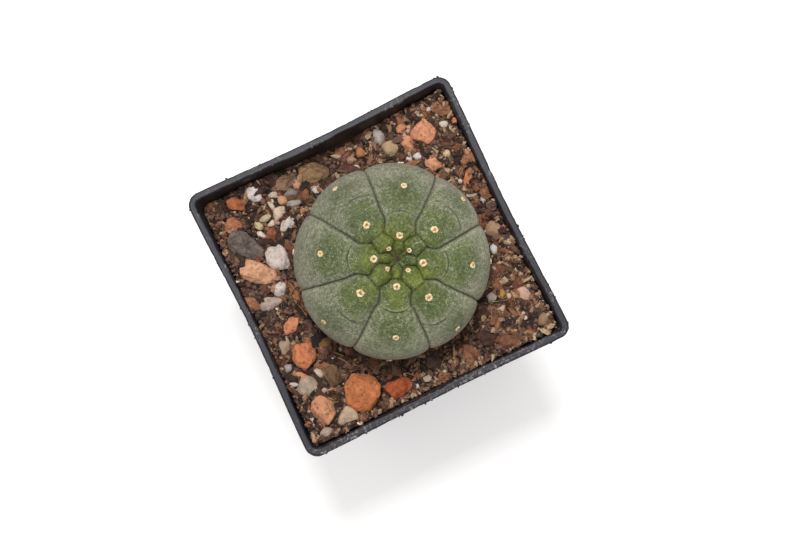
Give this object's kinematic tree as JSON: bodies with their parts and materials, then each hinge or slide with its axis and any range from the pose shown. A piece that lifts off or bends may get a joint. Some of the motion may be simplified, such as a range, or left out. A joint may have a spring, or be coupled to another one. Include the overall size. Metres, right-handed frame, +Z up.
{
  "type": "potted cactus",
  "caption": "Flattened globe cactus with broad ribs and felt areoles, growing in a square black nursery pot of gritty soil with loose stones.",
  "frame": {"origin": "centre of the pot's foot, on the surface that it stands on", "axes": "+Z up; +X and +Y square to the pot's sides"},
  "size_m": [0.08, 0.08, 0.0989],
  "materials": {
    "pot": "satin, slightly dusty, moulded polypropylene",
    "soil": "loose dark potting mix with fibres",
    "cactus": "matt velvety skin with fine pale dots",
    "brick_chip": "dusty broken brick",
    "pumice": "pale rough pumice",
    "gravel": "dull worn gravel",
    "slate": "dull grey slate",
    "bark_chip": "weathered bark"
  },
  "bodies": {
    "root": {"pot": "pot", "soil": "soil", "cactus": "cactus", "brick_chip_01": "brick_chip", "brick_chip_02": "brick_chip", "brick_chip_03": "brick_chip", "brick_chip_04": "brick_chip", "brick_chip_05": "brick_chip", "brick_chip_06": "brick_chip", "brick_chip_07": "brick_chip", "brick_chip_08": "brick_chip", "brick_chip_09": "brick_chip", "brick_chip_10": "brick_chip", "brick_chip_11": "brick_chip", "brick_chip_12": "brick_chip", "brick_chip_13": "brick_chip", "pumice_01": "pumice", "pumice_02": "pumice", "pumice_03": "pumice", "pumice_04": "pumice", "pumice_05": "pumice", "pumice_06": "pumice", "gravel_01": "gravel", "gravel_02": "gravel", "gravel_03": "gravel", "gravel_04": "gravel", "gravel_05": "gravel", "gravel_06": "gravel", "gravel_07": "gravel", "gravel_08": "gravel", "gravel_09": "gravel", "slate_01": "slate", "bark_chip_01": "bark_chip", "bark_chip_02": "bark_chip", "bark_chip_03": "bark_chip", "bark_chip_04": "bark_chip", "bark_chip_05": "bark_chip", "bark_chip_06": "bark_chip", "bark_chip_07": "bark_chip"}
  },
  "joints": []
}
